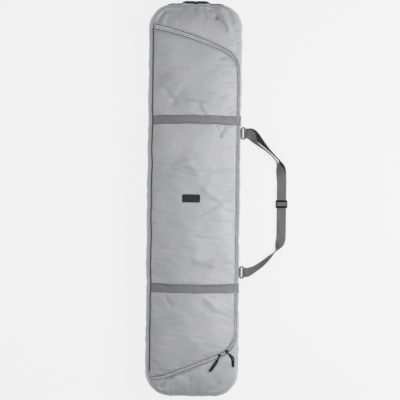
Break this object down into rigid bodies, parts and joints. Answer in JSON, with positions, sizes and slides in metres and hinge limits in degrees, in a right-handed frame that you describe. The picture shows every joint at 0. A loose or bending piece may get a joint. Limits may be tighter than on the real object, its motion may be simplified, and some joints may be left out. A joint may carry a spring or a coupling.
{
  "type": "snowboard bag",
  "caption": "Soft bag for a snowboard: fabric shell with a zipped front flap, webbing bands, a haul handle and an adjustable shoulder strap on its side",
  "frame": {"origin": "the middle of the back panel's flat outer face, which is where the bag rests", "axes": "+Y along the bag to the end with the haul handle, +X to the side with the shoulder strap, +Z out of the zipped front"},
  "size_m": [0.5703, 1.6086, 0.1341],
  "materials": {
    "shell_fabric": "matte",
    "webbing": "matte",
    "black_webbing": "matte",
    "zipper_tape": "matte",
    "coil": "satin",
    "hardware": "satin",
    "zipper_metal": "satin",
    "piping": "matte"
  },
  "bodies": {
    "shell": {"back_panel": "shell_fabric", "left_gusset": "shell_fabric", "right_gusset": "shell_fabric", "head_gusset": "shell_fabric", "foot_gusset": "shell_fabric", "head_yoke": "shell_fabric", "foot_yoke": "shell_fabric", "hinge_piping": "piping", "head_piping": "piping", "foot_piping": "piping", "zipper_tape_body": "zipper_tape", "zipper_coil_body": "coil", "zipper_stop_head": "coil", "zipper_stop_foot": "coil", "side_band_upper": "webbing", "side_band_lower": "webbing", "chape_upper": "webbing", "chape_lower": "webbing", "handle_patch_left": "black_webbing", "handle_patch_right": "black_webbing"},
    "flap": {"front_flap": "shell_fabric", "zipper_tape_flap": "zipper_tape", "zipper_coil_flap": "coil", "front_band_upper": "webbing", "front_band_lower": "webbing"},
    "slider_left": {"slider_left_body": "zipper_metal", "slider_left_bridge": "zipper_metal"},
    "slider_right": {"slider_right_body": "zipper_metal", "slider_right_bridge": "zipper_metal"},
    "pull_left": {"pull_left_tab": "zipper_metal", "pull_left_cord": "black_webbing", "pull_left_grip": "hardware"},
    "pull_right": {"pull_right_tab": "zipper_metal", "pull_right_cord": "black_webbing", "pull_right_grip": "hardware"},
    "strap": {"ring_upper": "hardware", "ring_lower": "hardware", "strap_wrap_upper": "webbing", "strap_wrap_lower": "webbing", "shoulder_strap": "webbing", "strap_return": "webbing"},
    "adjuster": {"tri_glide": "hardware", "strap_tail": "webbing"},
    "handle": {"haul_handle": "black_webbing"}
  },
  "joints": [
    {"name": "flap_hinge", "type": "hinge", "parent": "shell", "child": "flap", "pos_m": [-0.172, 0, 0.104], "axis": [0, -1, 0], "range_deg": [0, 160]},
    {"name": "left_slider_travel", "type": "hinge", "parent": "flap", "child": "slider_left", "pos_m": [0.01384, -0.6583, -0.43538], "axis": [0.3715, -0.9283, -0.0161], "range_deg": [0, 15.33]},
    {"name": "right_slider_travel", "type": "hinge", "parent": "flap", "child": "slider_right", "pos_m": [0.06771, -0.52191, 0.11986], "axis": [0.1952, 0.0762, 0.9778], "range_deg": [0, 17.17]},
    {"name": "left_pull_swing", "type": "hinge", "parent": "slider_left", "child": "pull_left", "pos_m": [0.11346, -0.62864, 0.12444], "axis": [-0.8728, 0.488, 0], "range_deg": [0, 150]},
    {"name": "right_pull_swing", "type": "hinge", "parent": "slider_right", "child": "pull_right", "pos_m": [0.14228, -0.61107, 0.1178], "axis": [-0.6319, -0.7751, 0], "range_deg": [0, 150]},
    {"name": "strap_swing", "type": "hinge", "parent": "shell", "child": "strap", "pos_m": [0.1922, 0, 0.06], "axis": [0, -1, 0], "range_deg": [0, 95]},
    {"name": "strap_adjust", "type": "slide", "parent": "strap", "child": "adjuster", "axis": [0, -1, 0], "range_m": [-0.045, 0.08], "deforming": ["strap_return"]},
    {"name": "handle_swing", "type": "hinge", "parent": "shell", "child": "handle", "pos_m": [0, 0.79802, 0.073], "axis": [1, 0, 0], "range_deg": [0, 80]}
  ]
}
